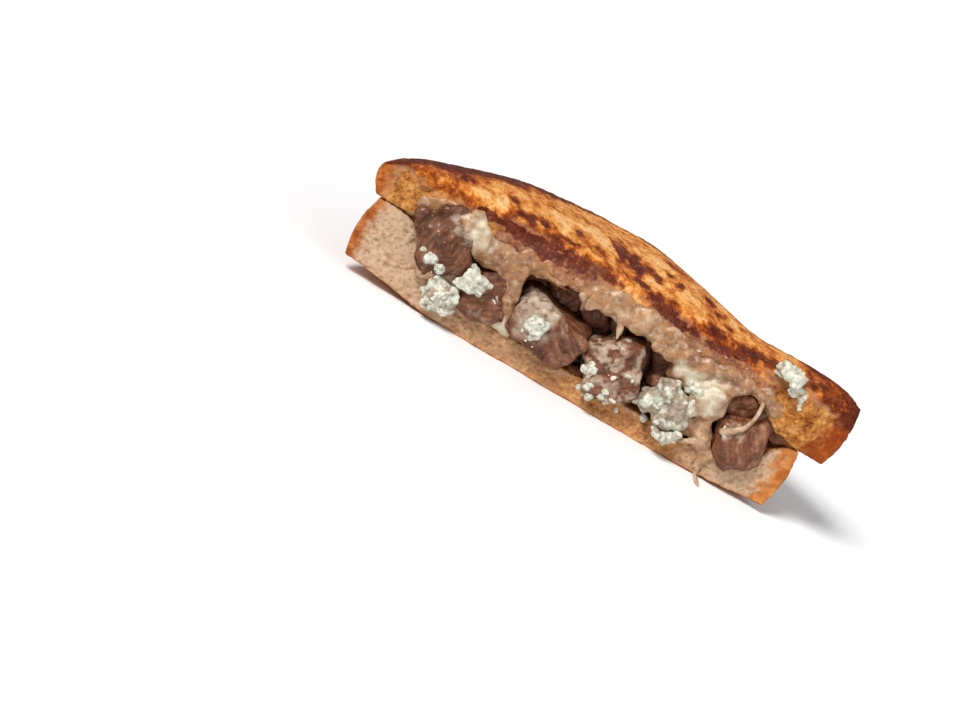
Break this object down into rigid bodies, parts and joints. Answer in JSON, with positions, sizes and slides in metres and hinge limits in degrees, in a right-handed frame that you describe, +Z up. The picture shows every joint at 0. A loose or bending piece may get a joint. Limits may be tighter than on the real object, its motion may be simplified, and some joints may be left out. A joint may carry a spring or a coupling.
{
  "type": "steak melt half",
  "caption": "Triangular half of a toasted steak melt: pan-fried bread slices around steak cubes and melted cheese, with crumbled blue cheese on the cut side.",
  "frame": {"origin": "middle of the base, on the table, under the middle of the whole part's box", "axes": "+X along the cut edge, from the low corner to the overhanging corner; +Y from the cut face back to the loaf's corner; +Z up from the table"},
  "size_m": [0.1734, 0.0898, 0.0487],
  "materials": {
    "toast": "matte toasted bread",
    "steak": "moist seared meat",
    "melted_cheese": "glossy melted cheese",
    "blue_cheese": "soft crumbly cheese"
  },
  "bodies": {
    "root": {"bottom_slice": "toast", "top_slice": "toast", "melted_cheese": "melted_cheese", "steak_1": "steak", "steak_2": "steak", "steak_3": "steak", "steak_4": "steak", "steak_5": "steak", "steak_6": "steak", "steak_7": "steak", "steak_8": "steak", "steak_9": "steak", "steak_10": "steak", "steak_11": "steak", "blue_cheese_1": "blue_cheese", "blue_cheese_2": "blue_cheese", "blue_cheese_3": "blue_cheese", "blue_cheese_4": "blue_cheese", "blue_cheese_5": "blue_cheese", "blue_cheese_6": "blue_cheese"}
  },
  "joints": []
}
